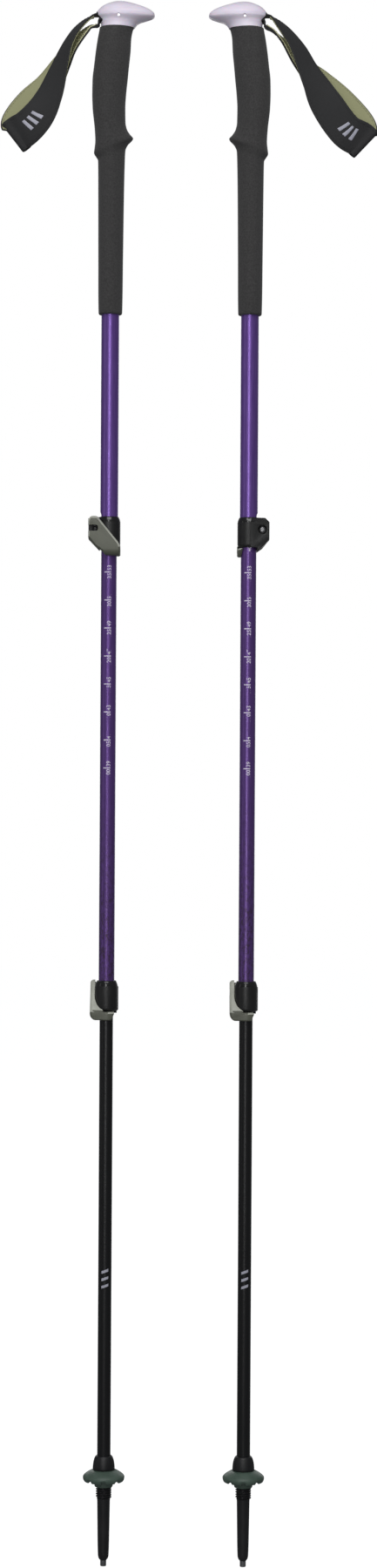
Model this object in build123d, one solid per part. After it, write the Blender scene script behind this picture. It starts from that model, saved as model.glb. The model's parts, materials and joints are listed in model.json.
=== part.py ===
from build123d import *
import math
import os

os.makedirs("parts", exist_ok=True)

# A pair of three-section trekking poles, in millimetres. The origin is on the ground in the middle of the
# pair's width over the two straps, which differ in length. +Z is up, +X runs from the left pole to the right
# one, and -Y is the side with the length scale.
# Each piece is built on its pole's own axis, as for the left pole, and then turned and moved into place.

# Layout of the pair
pole_spacing = 125.0
pair_middle_x = -8.0
upper_clamp_top = 938.5
lower_clamp_top = 523.7
upper_turn = {"left": 0, "right": 180}
lower_clamp_turn = -90

# Tubes: outer radii, one wall thickness, and the ends of each section
upper_r = 8.0
middle_r = 7.0
lower_r = 6.0
wall = 0.8
upper_span = (913.5, 1374.0)
middle_span = (499.2, 957.0)
lower_span = (88.0, 556.0)
bushing_depth = 10.0
middle_bushing_top = 975.0
lower_bushing_top = 566.0
bushing_clearance = 0.05
bonded_gap = 0.05
relief_width = 8.0
relief_above_clamp = 4.5

# Grip
core_r = 9.4
core_bottom = 1250.0
cap_bottom = 1376.0
pin_r = 1.25
pin_x = 6.2
pin_z = 1385.0
pin_half_length = 13.6
slot_half_width = 10.2
slot_low = 1380.6
slot_high = 1389.2
slot_clearance = 0.3

# Each section across the grip: height, reach to the rear, reach to the front, half width
foam_sections = [
    (1119.4, 9.4, 9.4, 9.4),
    (1121.5, 10.6, 10.6, 10.6),
    (1215.0, 11.5, 11.5, 11.5),
    (1253.0, 11.6, 12.3, 11.8),
    (1261.0, 13.4, 12.7, 12.6),
    (1265.0, 15.4, 13.3, 13.2),
    (1270.5, 14.5, 15.0, 13.4),
    (1277.6, 14.3, 19.6, 13.4),
    (1284.0, 14.8, 14.2, 13.4),
    (1293.0, 16.0, 12.6, 13.6),
    (1310.0, 17.4, 12.8, 14.2),
    (1330.0, 17.1, 14.5, 14.3),
    (1355.0, 14.3, 16.8, 14.0),
    (1376.0, 11.0, 19.6, 13.2),
]
cap_sections = [
    (1376.0, 10.0, 20.4, 12.8),
    (1380.0, 10.2, 24.5, 12.8),
    (1384.0, 12.4, 34.5, 14.0),
    (1387.0, 14.3, 38.3, 15.0),
    (1390.0, 13.4, 37.3, 14.8),
    (1394.0, 9.8, 31.0, 13.0),
    (1397.5, 3.0, 19.0, 9.0),
    (1400.0, -4.0, 10.0, 2.5),
]

# Strap: a loop of webbing with a lining sewn to its inner face
webbing_thickness = 1.4
lining_thickness = 1.0
seam_gap = 0.1
anchor_half_width = 9.5
anchor_outer_x = -9.0
wedge_span = (-8.0, 3.5)
fold_radius = 2.4

# Stations along each strap from the slot to the fold and back: distance out from the pole's axis, y, height,
# twist from level in degrees, and width. The first run is the one on the -Y side.
strap_stations = {
    "left": {
        "front": [
            (17.0, 0.0, 1387.2, 0, 19.0),
            (28.5, -1.5, 1378.0, 14, 21.0),
            (37.0, -4.0, 1363.5, 27, 24.0),
            (46.0, -8.0, 1339.0, 38, 27.0),
            (55.0, -11.0, 1313.0, 56, 30.0),
            (64.5, -10.5, 1295.5, 75, 31.0),
            (76.0, -6.0, 1284.5, 86, 31.5),
        ],
        "back": [
            (17.0, 0.0, 1382.0, 0, 19.0),
            (27.5, 3.0, 1364.5, 16, 21.0),
            (40.5, 7.5, 1347.5, 40, 25.0),
            (57.5, 11.0, 1327.5, 64, 29.0),
            (73.0, 10.5, 1309.5, 80, 31.0),
            (83.5, 6.0, 1292.0, 87, 31.5),
        ],
        "fold": (87.6, 0.0, 1277.6, 90, 31.5),
    },
    "right": {
        "front": [
            (17.0, 0.0, 1387.2, 0, 19.0),
            (26.0, -1.5, 1377.0, 30, 21.0),
            (40.5, -4.0, 1359.5, 37, 24.0),
            (49.0, -7.0, 1341.5, 45, 26.5),
            (57.0, -10.0, 1325.5, 57, 29.0),
            (67.0, -11.0, 1306.5, 78, 31.0),
            (85.5, -7.0, 1283.0, 87, 31.5),
        ],
        "back": [
            (17.0, 0.0, 1382.0, 0, 19.0),
            (27.0, 2.0, 1362.5, 6, 21.0),
            (41.0, 6.5, 1347.0, 28, 25.0),
            (62.5, 11.0, 1331.0, 62, 29.0),
            (81.0, 11.0, 1311.5, 80, 31.0),
            (97.0, 6.0, 1290.0, 87, 31.5),
        ],
        "fold": (102.5, 0.0, 1273.3, 90, 31.5),
    },
}

# Clamps: heights count down from the top of the collar, and the ears point to -X
collar_r = 10.1
collar_height = 27.0
collar_edge = 2.2
collar_lower_edge = 3.0
ear_outline = [
    (-4.0, -0.6),
    (-14.6, -0.6),
    (-18.4, -4.4),
    (-18.4, -20.0),
    (-8.2, -30.5),
    (-8.2, -24.0),
    (-4.0, -24.0),
]
ear_front_y = -4.3
ear_rear_y = 7.6
split_width = 1.5
screw_x = -12.3
screw_z = -10.75
screw_r = 1.5
screw_hole_r = 1.75
head_r = 3.6
head_height = 3.2
head_seat_y = 3.6
counterbore_r = 4.2
socket_r = 1.9
socket_depth = 1.8
barrel_y = -11.2
barrel_r = 2.7
barrel_span = (-17.0, -4.6)
thread_clearance = 0.05
washer_thickness = 0.7
washer_size = (5.8, 13.0)
cam_r = 6.1
cam_inner_x = -9.4
lever_front_y = -14.6
lever_back_y = -10.5
lever_outline = [
    (-15.9, 0.0),
    (-18.6, -3.5),
    (-18.6, -19.0),
    (-12.2, -27.0),
    (-5.7, -31.5),
    (-3.0, -35.0),
    (8.6, -35.0),
    (10.3, -31.0),
    (10.3, -27.4),
    (8.6, -23.5),
    (-10.5, 0.0),
]
lever_slot = (-13.5, -8.0)
lever_slot_end_x = -9.6
tail_span = (-35.0, -27.4)
tail_outer_r = 10.3
tail_clearance = 0.5
tail_end_angle = 45

# Tip and basket
dome_bottom = 86.4
dome_top = 98.8
dome_r = 9.8
thread_r = 7.0
thread_core_r = 6.1
thread_pitch = 3.0
thread_span = (60.5, 86.0)
tip_bottom = 5.3
insert_r = 2.7
insert_shank_r = 1.8
insert_shank_top = 22.0
insert_cup_r = 1.9
insert_cup_depth = 1.2
basket_bore_r = 7.1
basket_top = 86.1
basket_notches = 8
basket_rim_r = 18.75


def ring(outer, inner, low, high):
    """An upright tube between two heights."""
    height = high - low
    body = Cylinder(outer, height) - Cylinder(inner, height + 1)
    return Pos(0, 0, (low + high) / 2) * body


def upright(radius, low, high):
    """An upright round bar between two heights."""
    return Pos(0, 0, (low + high) / 2) * Cylinder(radius, high - low)


def block(low, high):
    """A box between two opposite corners."""
    size = [b - a for a, b in zip(low, high)]
    middle = [(a + b) / 2 for a, b in zip(low, high)]
    return Pos(*middle) * Box(*size)


def bar_along_y(x, z, radius, low, high):
    """A round bar parallel to Y."""
    return Pos(x, (low + high) / 2, z) * Rot(90, 0, 0) * Cylinder(radius, high - low)


def turned(points):
    """A solid turned about Z from a closed outline of radius and height."""
    outline = Polyline(*[(r, 0, z) for r, z in points], close=True)
    return revolve(make_face(outline), Axis.Z)


def plate(points, front, back):
    """An XZ outline given thickness between two values of y."""
    outline = Polyline(*[(x, front, z) for x, z in points], close=True)
    return extrude(make_face(outline), amount=back - front, dir=(0, 1, 0))


def section(station):
    """A level section of the grip: an oval that is blunter behind the axis than in front of it."""
    z, rear, front, half_width = station
    middle = (front - rear) / 2
    reach = (front + rear) / 2
    count = 20
    points = []
    for i in range(count):
        angle = 2 * math.pi * i / count
        bluntness = 1 - 0.12 * math.cos(angle)
        points.append((middle + reach * math.cos(angle), half_width * math.sin(angle) * bluntness, z))
    return Wire(Spline(*points, periodic=True))


def stacked(stations):
    """A solid through level sections, from the lowest to the highest."""
    return Solid.make_loft([section(s) for s in stations], ruled=True)


def grip_foam():
    """The foam handle with its finger ledge and its round extension down the shaft."""
    foam = stacked(foam_sections)
    foam -= upright(core_r + bonded_gap, core_bottom, cap_bottom + 1)
    foam -= upright(upper_r + bonded_gap, foam_sections[0][0] - 1, core_bottom)
    return foam


def grip_core():
    """The hard sleeve inside the foam, closed at the top, that the shaft is bonded into."""
    sleeve = ring(core_r, upper_r + bonded_gap, core_bottom, upper_span[1] + bonded_gap)
    return sleeve + upright(core_r, upper_span[1] + bonded_gap, cap_bottom)


def grip_cap():
    """The hard palm rest with its beak, the strap's slot at the rear and the hole for the cross pin."""
    cap = stacked(cap_sections)
    slot_end = pin_x + strap_wrap_radius() + slot_clearance
    cap -= block((-20, -slot_half_width, slot_low), (slot_end, slot_half_width, slot_high))
    cap -= bar_along_y(pin_x, pin_z, pin_r + bonded_gap, -20, 20)
    return cap


def strap_wrap_radius():
    """The outer radius of the webbing where it goes round the cross pin."""
    return pin_r + slot_clearance + webbing_thickness


def strap_pin():
    """The cross pin that the strap goes round."""
    return bar_along_y(pin_x, pin_z, pin_r, -pin_half_length, pin_half_length)


def strap_anchor():
    """The webbing inside the cap: in over the cross pin, round it and out again below."""
    outer = strap_wrap_radius()
    inner = outer - webbing_thickness
    half = anchor_half_width
    round_pin = bar_along_y(pin_x, pin_z, outer, -half, half)
    runs = block((anchor_outer_x, -half, pin_z - outer), (pin_x, half, pin_z + outer))
    room = bar_along_y(pin_x, pin_z, inner, -20, 20)
    room += block((anchor_outer_x - 1, -20, pin_z - inner), (pin_x, 20, pin_z + inner))
    return round_pin + runs - room


def strap_wedge():
    """The tapered block between the two runs that locks the strap when it is pulled."""
    back, front = wedge_span
    thick = pin_r - seam_gap / 2
    thin = thick - 0.4
    outline = [(back, pin_z - thick), (front, pin_z - thin), (front, pin_z + thin), (back, pin_z + thick)]
    half = anchor_half_width - slot_clearance
    return plate(outline, -half, half)


def band_frame(here, before, after, twist, side):
    """The width and outward directions of the strap at a station, from its neighbours and its twist."""
    along = (Vector(*after) - Vector(*before)).normalized()
    level = Vector(0, 1, 0)
    level = (level - along * level.dot(along)).normalized()
    raised = along.cross(level) * side
    angle = math.radians(twist)
    width = level * math.cos(angle) + raised * math.sin(angle)
    return Vector(*here), width, along.cross(width).normalized()


def strap_path(name):
    """Stations round the whole loop, each with its place, width direction, outward direction and width."""
    side = -1 if name == "left" else 1
    spec = strap_stations[name]
    front = [((side * d, y, z), twist, width) for d, y, z, twist, width in spec["front"]]
    back = [((side * d, y, z), twist, width) for d, y, z, twist, width in spec["back"]]
    d, y, z, twist, fold_width = spec["fold"]
    fold = (side * d, y, z)
    path = []
    for run, outward in ((front, -1), (back, 1)):
        places = [place for place, _, _ in run] + [fold]
        stations = []
        for i, (place, twist, width) in enumerate(run):
            centre, across, normal = band_frame(place, places[max(i - 1, 0)], places[i + 1], twist, side)
            if normal.Y * outward < 0 or (i == 0 and normal.Z * outward > 0):
                normal = normal * -1
            stations.append((centre, across, normal, width))
        path.append(stations)
    across = path[0][-1][1]
    tip = (Vector(*fold) - path[0][-1][0]) - across * (Vector(*fold) - path[0][-1][0]).dot(across)
    tip = Vector(tip.X, 0, tip.Z).normalized()
    level = Vector(0, 1, 0)
    across = tip.cross(level)
    if across.dot(path[0][-1][1]) < 0:
        across = across * -1
    centre = Vector(*fold) - tip * fold_radius
    bend = []
    for angle in (-90, -45, 0, 45, 90):
        a = math.radians(angle)
        outward = tip * math.cos(a) + level * math.sin(a)
        bend.append((centre + outward * fold_radius, across, outward, fold_width))
    return path[0] + bend + path[1][::-1]


def band(name, low, high, width_share):
    """A closed solid along the strap between two distances out from the seam."""
    sections = []
    for centre, across, normal, width in strap_path(name):
        half = across * (width * width_share / 2)
        corners = [centre + half + normal * low, centre + half + normal * high]
        corners += [centre - half + normal * high, centre - half + normal * low]
        sections.append(Wire(Polyline(*corners, close=True)))
    return Solid.make_loft(sections, ruled=True)


def strap_webbing(name):
    """The black outer band of the loop."""
    return band(name, seam_gap / 2, seam_gap / 2 + webbing_thickness, 1.0)


def strap_lining(name):
    """The soft band sewn inside the loop, a little narrower than the webbing."""
    return band(name, -seam_gap / 2 - lining_thickness, -seam_gap / 2, 0.94)


def slotted_tube(radius, span, clamp_top):
    """A tube whose lower end is slotted towards -X so that the clamp can squeeze it."""
    top = clamp_top + relief_above_clamp - relief_width / 2
    tube = ring(radius, radius - wall, *span)
    tube -= block((-20, -relief_width / 2, span[0] - 1), (0, relief_width / 2, top))
    tube -= Pos(-10, 0, top) * Rot(0, 90, 0) * Cylinder(relief_width / 2, 20)
    return tube


def bushing(radius, inside, middle, high):
    """The guide on a tube's upper end: a spigot in the tube and a collar that runs in the next tube."""
    low = middle - bushing_depth
    guide = upright(inside - bonded_gap, low, middle) + upright(radius, middle, high)
    return guide - upright(inside / 2, low - 1, high + 1)


def clamp_collar(tube_r):
    """The split collar bonded round a tube's lower end, with two ears for the tension screw."""
    collar = Pos(0, 0, -collar_height / 2) * Cylinder(collar_r, collar_height)
    collar = fillet(collar.edges().group_by(Axis.Z)[-1], collar_edge)
    collar = fillet(collar.edges().group_by(Axis.Z)[0], collar_lower_edge)
    ears = plate(ear_outline, ear_front_y, ear_rear_y)
    ears = chamfer(ears.edges().filter_by(Axis.Y).group_by(Axis.X)[0], 1.2)
    collar += ears
    collar -= Pos(0, 0, -collar_height) * Cylinder(tube_r + bonded_gap, collar_height * 3)
    collar -= block((-30, -split_width / 2, -50), (0, split_width / 2, 10))
    collar -= bar_along_y(screw_x, screw_z, screw_hole_r, -20, 20)
    collar -= bar_along_y(screw_x, screw_z, counterbore_r, head_seat_y, 20)
    return collar


def clamp_screw():
    """The tension screw, with a round head and a hex socket, threaded into the barrel."""
    screw = bar_along_y(screw_x, screw_z, screw_r, barrel_y - barrel_r + 0.6, head_seat_y)
    screw += bar_along_y(screw_x, screw_z, head_r, head_seat_y, head_seat_y + head_height)
    socket = Pos(screw_x, head_seat_y + head_height, screw_z) * Rot(90, 0, 0)
    socket *= extrude(RegularPolygon(socket_r, 6), amount=socket_depth)
    return screw - socket


def clamp_barrel():
    """The cross nut that the screw is threaded into and that the lever turns on."""
    barrel = Pos(screw_x, barrel_y, 0) * upright(barrel_r, *barrel_span)
    return barrel - bar_along_y(screw_x, screw_z, screw_r + thread_clearance, -20, 0)


def clamp_washer():
    """The flat pad between the lever's cam and the front ear."""
    width, height = washer_size
    back = ear_front_y
    pad = block(
        (screw_x - width / 2, back - washer_thickness, screw_z - height / 2),
        (screw_x + width / 2, back, screw_z + height / 2),
    )
    return pad - bar_along_y(screw_x, screw_z, screw_hole_r, -20, 20)


def clamp_lever(inner_tube_r):
    """The locking lever: a cam on the barrel, a plate across the collar and a tail round the tube below."""
    face = plate(lever_outline, lever_front_y, lever_back_y)
    cam_back = ear_front_y - washer_thickness
    cam_outline = [(-18.6, -3.8), (-18.6, -18.7), (cam_inner_x, -18.7), (cam_inner_x, -2.5), (-15.9, -1.6)]
    cam = plate(cam_outline, lever_back_y, cam_back)
    body = face + cam
    beyond = block((screw_x - 10, -30, -50), (screw_x, 10, 10))
    beyond += block((screw_x, lever_back_y, -50), (screw_x + 10, 10, 10))
    kept = Pos(screw_x, barrel_y, -20) * Cylinder(cam_r, 80)
    body -= beyond - kept
    tail = ring(tail_outer_r, inner_tube_r + tail_clearance, *tail_span)
    sweep = [(0, 0), (0, -30), (30, -30), (30, 30)]
    wedge = Polyline(*[(x, y, tail_span[0] - 1) for x, y in sweep], close=True)
    tail &= extrude(make_face(wedge), amount=tail_span[1] - tail_span[0] + 2, dir=(0, 0, 1))
    bridge = block((-2.0, lever_back_y - 0.5, tail_span[0]), (8.6, -6.5, tail_span[1]))
    bridge -= Pos(0, 0, -30) * Cylinder(inner_tube_r + tail_clearance, 60)
    body += tail + bridge
    bore = upright(barrel_r + thread_clearance, barrel_span[0] - 0.1, barrel_span[1] + 0.1)
    body -= Pos(screw_x, barrel_y, 0) * bore
    low, high = lever_slot
    radius = (high - low) / 2
    body -= block((-30, -30, low), (lever_slot_end_x - radius, 0, high))
    body -= bar_along_y(lever_slot_end_x - radius, (low + high) / 2, radius, -30, 0)
    return body


def tip_body():
    """The plastic tip: a domed socket for the shaft, the basket's thread and the tapered point."""
    outline = [(0, tip_bottom), (3.0, tip_bottom), (3.1, 8.4), (4.6, 13.5), (5.95, thread_span[0])]
    ribs = int((thread_span[1] - thread_span[0]) / thread_pitch)
    for i in range(ribs):
        base = thread_span[0] + i * thread_pitch
        outline += [(thread_core_r, base + 0.4), (thread_r, base + 1.0), (thread_r, base + 1.6)]
        outline += [(thread_core_r, base + 2.2)]
    outline += [(thread_core_r, dome_bottom), (dome_r, dome_bottom)]
    outline += [(9.4, 90.5), (8.2, 95.5), (6.9, dome_top)]
    outline += [(lower_r + bonded_gap, dome_top), (lower_r + bonded_gap, lower_span[0]), (0, lower_span[0])]
    tip = turned(outline)
    return tip - upright(insert_shank_r + bonded_gap, tip_bottom - 1, insert_shank_top + bonded_gap)


def carbide_tip():
    """The hard metal point, with a hollow end and a shank pressed into the tip."""
    point = turned([(0, 0), (insert_r - 0.2, 0), (insert_r, 0.4), (insert_r, tip_bottom), (0, tip_bottom)])
    point += upright(insert_shank_r, tip_bottom, insert_shank_top)
    cup = turned([(0, -1), (insert_cup_r, -1), (insert_cup_r, 0), (0, insert_cup_depth)])
    return point - cup


def basket():
    """The small round basket that screws onto the tip, notched round the underside of its rim."""
    outline = [(basket_bore_r, 71.0), (8.2, 71.0), (8.8, 79.5), (15.5, 77.2), (17.6, 75.8), (18.6, 77.0)]
    outline += [(basket_rim_r, 79.6), (17.6, 82.2), (13.6, 84.6)]
    outline += [(9.6, basket_top), (basket_bore_r, basket_top)]
    saucer = turned(outline)
    for i in range(basket_notches):
        cutter = Pos(basket_rim_r, 0, 74.0) * Rot(0, 90, 0) * Cylinder(3.0, 7.0)
        saucer -= Rot(0, 0, 360 * i / basket_notches) * cutter
    return saucer


def save(name, shape, x, turn=0):
    """Turns a piece about its pole's axis, moves it to the pole's place and writes it."""
    placed = Pos(x, 0, 0) * Rot(0, 0, turn) * shape
    export_step(Part(placed.wrapped), f"parts/{name}.step")


def clamp(prefix, tube_r, inner_tube_r, top, x, turn):
    """The five pieces of one clamp."""
    pieces = {
        "collar": clamp_collar(tube_r),
        "lever": clamp_lever(inner_tube_r),
        "screw": clamp_screw(),
        "barrel": clamp_barrel(),
        "washer": clamp_washer(),
    }
    for name, shape in pieces.items():
        save(f"{prefix}_clamp_{name}", Pos(0, 0, top) * shape, x, turn)


def pole(name, x):
    """All the pieces of one pole."""
    turn = upper_turn[name]
    save(f"{name}_grip_foam", grip_foam(), x, turn)
    save(f"{name}_grip_core", grip_core(), x, turn)
    save(f"{name}_grip_cap", grip_cap(), x, turn)
    save(f"{name}_strap_pin", strap_pin(), x, turn)
    save(f"{name}_strap_anchor", strap_anchor(), x, turn)
    save(f"{name}_strap_wedge", strap_wedge(), x, turn)
    save(f"{name}_strap_webbing", strap_webbing(name), x)
    save(f"{name}_strap_lining", strap_lining(name), x)
    save(f"{name}_upper_tube", slotted_tube(upper_r, upper_span, upper_clamp_top), x, turn)
    clamp(f"{name}_upper", upper_r, middle_r, upper_clamp_top, x, turn)
    middle = slotted_tube(middle_r, middle_span, lower_clamp_top)
    save(f"{name}_middle_tube", middle, x, lower_clamp_turn)
    guide_r = upper_r - wall - bushing_clearance
    save(f"{name}_middle_bushing", bushing(guide_r, middle_r - wall, middle_span[1], middle_bushing_top), x)
    clamp(f"{name}_lower", middle_r, lower_r, lower_clamp_top, x, lower_clamp_turn)
    save(f"{name}_lower_tube", ring(lower_r, lower_r - wall, *lower_span), x)
    guide_r = middle_r - wall - bushing_clearance
    save(f"{name}_lower_bushing", bushing(guide_r, lower_r - wall, lower_span[1], lower_bushing_top), x)
    save(f"{name}_tip_body", tip_body(), x)
    save(f"{name}_basket", basket(), x)
    save(f"{name}_carbide_tip", carbide_tip(), x)


pole("left", pair_middle_x - pole_spacing / 2)
pole("right", pair_middle_x + pole_spacing / 2)
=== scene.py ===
import json
import math

import bmesh
import bpy
from mathutils import Matrix, Vector


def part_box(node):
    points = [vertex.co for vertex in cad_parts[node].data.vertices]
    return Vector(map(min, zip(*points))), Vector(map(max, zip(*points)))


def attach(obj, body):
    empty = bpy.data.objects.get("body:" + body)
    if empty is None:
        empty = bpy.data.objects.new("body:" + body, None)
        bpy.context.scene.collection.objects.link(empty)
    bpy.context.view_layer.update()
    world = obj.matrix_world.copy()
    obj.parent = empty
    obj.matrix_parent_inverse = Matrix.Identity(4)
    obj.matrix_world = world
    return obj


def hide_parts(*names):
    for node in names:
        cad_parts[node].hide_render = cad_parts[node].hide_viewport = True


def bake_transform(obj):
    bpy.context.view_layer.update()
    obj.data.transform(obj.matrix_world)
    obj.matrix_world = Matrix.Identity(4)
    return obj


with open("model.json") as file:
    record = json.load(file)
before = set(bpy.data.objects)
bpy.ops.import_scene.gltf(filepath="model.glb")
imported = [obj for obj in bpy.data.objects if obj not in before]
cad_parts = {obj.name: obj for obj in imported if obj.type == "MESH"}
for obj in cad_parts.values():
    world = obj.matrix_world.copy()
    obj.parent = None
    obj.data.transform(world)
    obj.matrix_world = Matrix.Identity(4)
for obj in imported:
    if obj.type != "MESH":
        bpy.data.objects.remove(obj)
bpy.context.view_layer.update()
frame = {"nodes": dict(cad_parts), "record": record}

# A pair of trekking poles. Lengths of the pieces are in millimetres in the pole's own frame, in which the
# grip's beak points to +X and the strap leaves towards -X. They are turned, moved and scaled into the
# frame's metres.
MM = 0.001
SIDES = ("left", "right")
UPPER_TURN = {"left": 0, "right": 180}
LOWER_TURN = -90
OUTWARD = {"left": -1, "right": 1}


def middle(node):
    low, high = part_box(node)
    return (Vector(low) + Vector(high)) / 2


def top_of(node):
    return Vector(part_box(node)[1]).z / MM


def bottom_of(node):
    return Vector(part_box(node)[0]).z / MM


def radius_of(node):
    low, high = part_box(node)
    return (Vector(high) - Vector(low)).x / 2 / MM


def clamped(value):
    return min(1.0, max(0.0, value))


POLE_X = {side: middle(f"{side}_lower_tube").x for side in SIDES}
SLOT_OF = {part["node"]: part["material_slot"] for part in frame["record"]["subparts"]}

# ---------------------------------------------------------------- camera, lights and world

CAMERA_DISTANCE = 2.8
CAMERA_HEIGHT = 0.7
CAMERA_ASIDE = 0.0099
CAMERA_ROLL = 0.33
FRAME_HEIGHT = 1.4033
SENSOR = 36.0


def make_camera():
    data = bpy.data.cameras.new("camera")
    data.sensor_fit = "AUTO"
    data.sensor_width = SENSOR
    data.lens = SENSOR * CAMERA_DISTANCE / FRAME_HEIGHT
    camera = bpy.data.objects.new("camera", data)
    bpy.context.scene.collection.objects.link(camera)
    upright = Matrix.Rotation(math.radians(90), 4, "X") @ Matrix.Rotation(math.radians(CAMERA_ROLL), 4, "Z")
    x = sum(POLE_X.values()) / len(SIDES) + CAMERA_ASIDE
    camera.matrix_world = Matrix.Translation((x, -CAMERA_DISTANCE, CAMERA_HEIGHT)) @ upright
    bpy.context.scene.camera = camera


def softbox(name, place, target, size, power):
    """A rectangular area light that faces a point."""
    data = bpy.data.lights.new(name, "AREA")
    data.shape = "RECTANGLE"
    data.size, data.size_y = size
    data.energy = power
    light = bpy.data.objects.new(name, data)
    light.location = place
    light.rotation_mode = "QUATERNION"
    light.rotation_quaternion = (Vector(target) - Vector(place)).to_track_quat("-Z", "Y")
    bpy.context.scene.collection.objects.link(light)


def make_lights():
    softbox("front_box", (-0.25, -2.6, 1.15), (0, 0, 0.72), (0.5, 2.2), 19)
    softbox("top_box", (0, -1.6, 2.7), (0, 0, 0.9), (1.5, 1.0), 24)
    softbox("left_fill", (-2.4, -0.9, 1.0), (0, 0, 0.8), (0.5, 1.8), 2)
    softbox("back_left", (-0.7, 2.4, 1.4), (0, 0, 0.8), (0.8, 1.8), 8)
    softbox("back_right", (0.9, 2.3, 1.2), (0, 0, 0.8), (0.8, 1.8), 6)


def make_world():
    """White behind the object, and a dimmer grey as its light and reflections."""
    world = bpy.data.worlds.new("studio")
    world.use_nodes = True
    nodes, links = world.node_tree.nodes, world.node_tree.links
    nodes.clear()
    seen = nodes.new("ShaderNodeBackground")
    seen.inputs["Color"].default_value = (1, 1, 1, 1)
    light = nodes.new("ShaderNodeBackground")
    light.inputs["Color"].default_value = (0.92, 0.95, 1, 1)
    light.inputs["Strength"].default_value = 0.17
    path = nodes.new("ShaderNodeLightPath")
    mix = nodes.new("ShaderNodeMixShader")
    out = nodes.new("ShaderNodeOutputWorld")
    links.new(path.outputs["Is Camera Ray"], mix.inputs["Fac"])
    links.new(light.outputs[0], mix.inputs[1])
    links.new(seen.outputs[0], mix.inputs[2])
    links.new(mix.outputs[0], out.inputs["Surface"])
    bpy.context.scene.world = world
    bpy.context.scene.view_settings.view_transform = "Standard"


# ---------------------------------------------------------------- materials


def srgb(red, green, blue):
    """A colour given in 0-255 display values, as linear numbers."""
    linear = []
    for value in (red, green, blue):
        share = value / 255
        linear.append(share / 12.92 if share <= 0.04045 else ((share + 0.055) / 1.055) ** 2.4)
    return (*linear, 1.0)


class Shading:
    """One material's node tree, with short calls for the nodes that the materials use."""

    def __init__(self, name, **sockets):
        self.material = bpy.data.materials.new(name)
        self.material.use_nodes = True
        self.tree = self.material.node_tree
        self.shader = self.tree.nodes["Principled BSDF"]
        for key, value in sockets.items():
            self.shader.inputs[key.replace("_", " ")].default_value = value

    def add(self, kind, inputs=None, **settings):
        node = self.tree.nodes.new(kind)
        for key, value in settings.items():
            setattr(node, key, value)
        for key, value in (inputs or {}).items():
            if isinstance(value, bpy.types.NodeSocket):
                self.tree.links.new(value, node.inputs[key])
            else:
                node.inputs[key].default_value = value
        return node

    def place(self, stretch=(1, 1, 1)):
        """The piece's own coordinates in metres, stretched."""
        spot = self.add("ShaderNodeTexCoord").outputs["Object"]
        return self.add("ShaderNodeMapping", {"Vector": spot, "Scale": stretch}).outputs[0]

    def noise(self, vector, scale, detail=2.0, rough=0.5):
        inputs = {"Vector": vector, "Scale": scale, "Detail": detail, "Roughness": rough}
        return self.add("ShaderNodeTexNoise", inputs).outputs["Fac"]

    def remap(self, value, low, high, to_low=0.0, to_high=1.0):
        inputs = {0: value, 1: low, 2: high, 3: to_low, 4: to_high}
        return self.add("ShaderNodeMapRange", inputs).outputs[0]

    def math(self, operation, first, second=0.0):
        return self.add("ShaderNodeMath", {0: first, 1: second}, operation=operation).outputs[0]

    def plus(self, first, second):
        return self.math("ADD", first, second)

    def times(self, first, second):
        return self.math("MULTIPLY", first, second)

    def mix(self, share, first, second):
        node = self.add("ShaderNodeMix", {0: share, 6: first, 7: second}, data_type="RGBA")
        return node.outputs[2]

    def bump(self, height, distance, strength=1.0, under=None):
        inputs = {"Height": height, "Distance": distance, "Strength": strength}
        if under is not None:
            inputs["Normal"] = under
        return self.add("ShaderNodeBump", inputs).outputs[0]

    def finish(self, colour=None, rough=None, normal=None):
        for key, value in (("Base Color", colour), ("Roughness", rough), ("Normal", normal)):
            if value is not None:
                self.tree.links.new(value, self.shader.inputs[key])
        return self.material


def grained(name, dark, light, rough, grain, depth, metal=0.0, cloud=60):
    """A surface with cloudy colour, uneven gloss and a fine grain; lengths are in metres."""
    made = Shading(name, Metallic=metal)
    spot = made.place()
    clouds = made.remap(made.noise(spot, cloud, 4), 0.3, 0.7)
    fine = made.noise(spot, grain, 3)
    colour = made.mix(clouds, srgb(*dark), srgb(*light))
    gloss = made.remap(made.plus(clouds, fine), 0.4, 1.6, *rough)
    return made.finish(colour, gloss, made.bump(fine, depth))


def foam_material():
    """Closed-cell foam: matte, with fine open pores and a faint mottle."""
    made = Shading("grip_foam", Sheen_Weight=0.12, Sheen_Roughness=0.6)
    spot = made.place()
    pores = made.add("ShaderNodeTexVoronoi", {"Vector": spot, "Scale": 1500.0}).outputs["Distance"]
    pits = made.remap(pores, 0.0, 0.35)
    waves = made.noise(spot, 240, 3)
    mottle = made.remap(made.noise(spot, 700, 4, 0.7), 0.35, 0.65)
    colour = made.mix(mottle, srgb(47, 46, 46), srgb(60, 59, 59))
    shallow = made.bump(waves, 0.00012, 0.6)
    normal = made.bump(pits, 0.00008, 0.8, shallow)
    return made.finish(colour, made.remap(mottle, 0, 1, 0.92, 0.8), normal)


def cap_material():
    """Pale lavender moulded plastic with a fine spark texture and a soft gloss."""
    sockets = {"Subsurface_Weight": 0.12, "Subsurface_Scale": 0.002, "Coat_Weight": 0.12}
    made = Shading("cap_plastic", Coat_Roughness=0.25, **sockets)
    spot = made.place()
    clouds = made.remap(made.noise(spot, 45, 3), 0.3, 0.7)
    spark = made.noise(spot, 3200, 2)
    colour = made.mix(clouds, srgb(236, 226, 243), srgb(242, 233, 248))
    gloss = made.remap(made.plus(clouds, spark), 0.4, 1.6, 0.34, 0.46)
    return made.finish(colour, gloss, made.bump(spark, 0.00002))


WORN_COLOUR = (76, 55, 86)


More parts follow.
